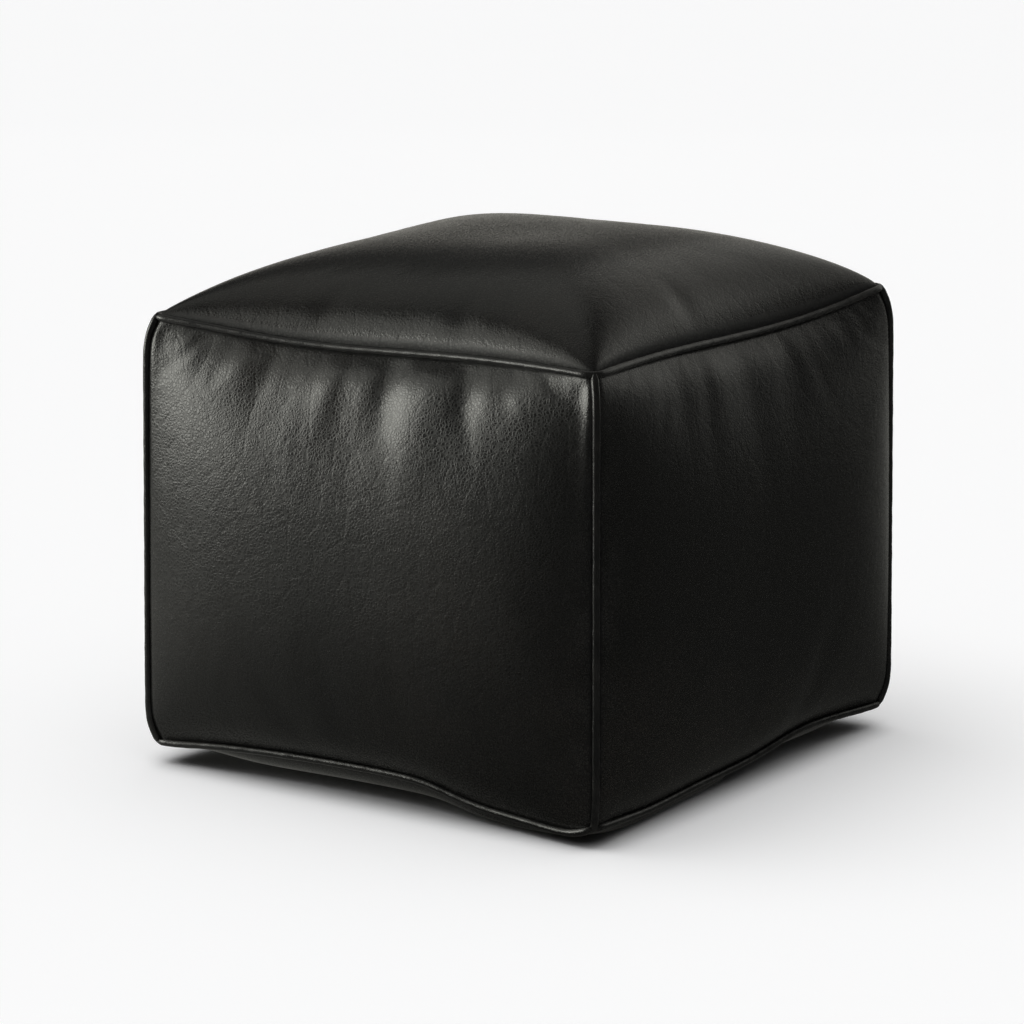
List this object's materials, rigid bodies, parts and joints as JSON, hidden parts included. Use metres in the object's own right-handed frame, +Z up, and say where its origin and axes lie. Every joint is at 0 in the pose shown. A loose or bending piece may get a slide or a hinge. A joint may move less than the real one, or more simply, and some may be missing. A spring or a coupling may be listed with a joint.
{
  "type": "leather pouf",
  "caption": "Square leather pouf with domed panels, piped seams, a zipped base opening and a stuffed cloth bag inside.",
  "frame": {"origin": "on the floor under the middle of the pouf", "axes": "+Z up, -Y towards the front panel, +X towards the right panel, zip along X"},
  "size_m": [0.5044, 0.5044, 0.4492],
  "materials": {
    "leather": "satin",
    "piping_leather": "satin",
    "cotton_cord": "matte",
    "zip_tape": "matte",
    "zip_teeth": "satin",
    "zip_metal": "satin",
    "bag_cloth": "matte",
    "stuffing": "matte"
  },
  "bodies": {
    "pouf": {"top_panel": "leather", "front_panel": "leather", "right_panel": "leather", "back_panel": "leather", "left_panel": "leather", "base_panel_front": "leather", "base_panel_rear": "leather", "piping_top": "piping_leather", "piping_base": "piping_leather", "piping_front_left": "piping_leather", "piping_front_right": "piping_leather", "piping_back_right": "piping_leather", "piping_back_left": "piping_leather", "piping_cord_top": "cotton_cord", "piping_cord_base": "cotton_cord", "piping_cord_front_left": "cotton_cord", "piping_cord_front_right": "cotton_cord", "piping_cord_back_right": "cotton_cord", "piping_cord_back_left": "cotton_cord", "zip_tape_front": "zip_tape", "zip_tape_rear": "zip_tape", "zip_teeth_front": "zip_teeth", "zip_teeth_rear": "zip_teeth", "zip_top_stop_front": "zip_metal", "zip_top_stop_rear": "zip_metal", "zip_bottom_stop": "zip_metal", "inner_bag": "bag_cloth", "filling": "stuffing"},
    "slider": {"zip_slider": "zip_metal"},
    "pull": {"zip_pull": "zip_metal"}
  },
  "joints": [
    {"name": "zip_slide", "type": "slide", "parent": "pouf", "child": "slider", "axis": [-1, 0, 0], "range_m": [0, 0.275], "deforming": ["zip_teeth_front", "zip_teeth_rear"]},
    {"name": "pull_swing", "type": "hinge", "parent": "slider", "child": "pull", "pos_m": [0.1397, 0, 0.00285], "axis": [0, -1, 0], "range_deg": [0, 180]}
  ]
}
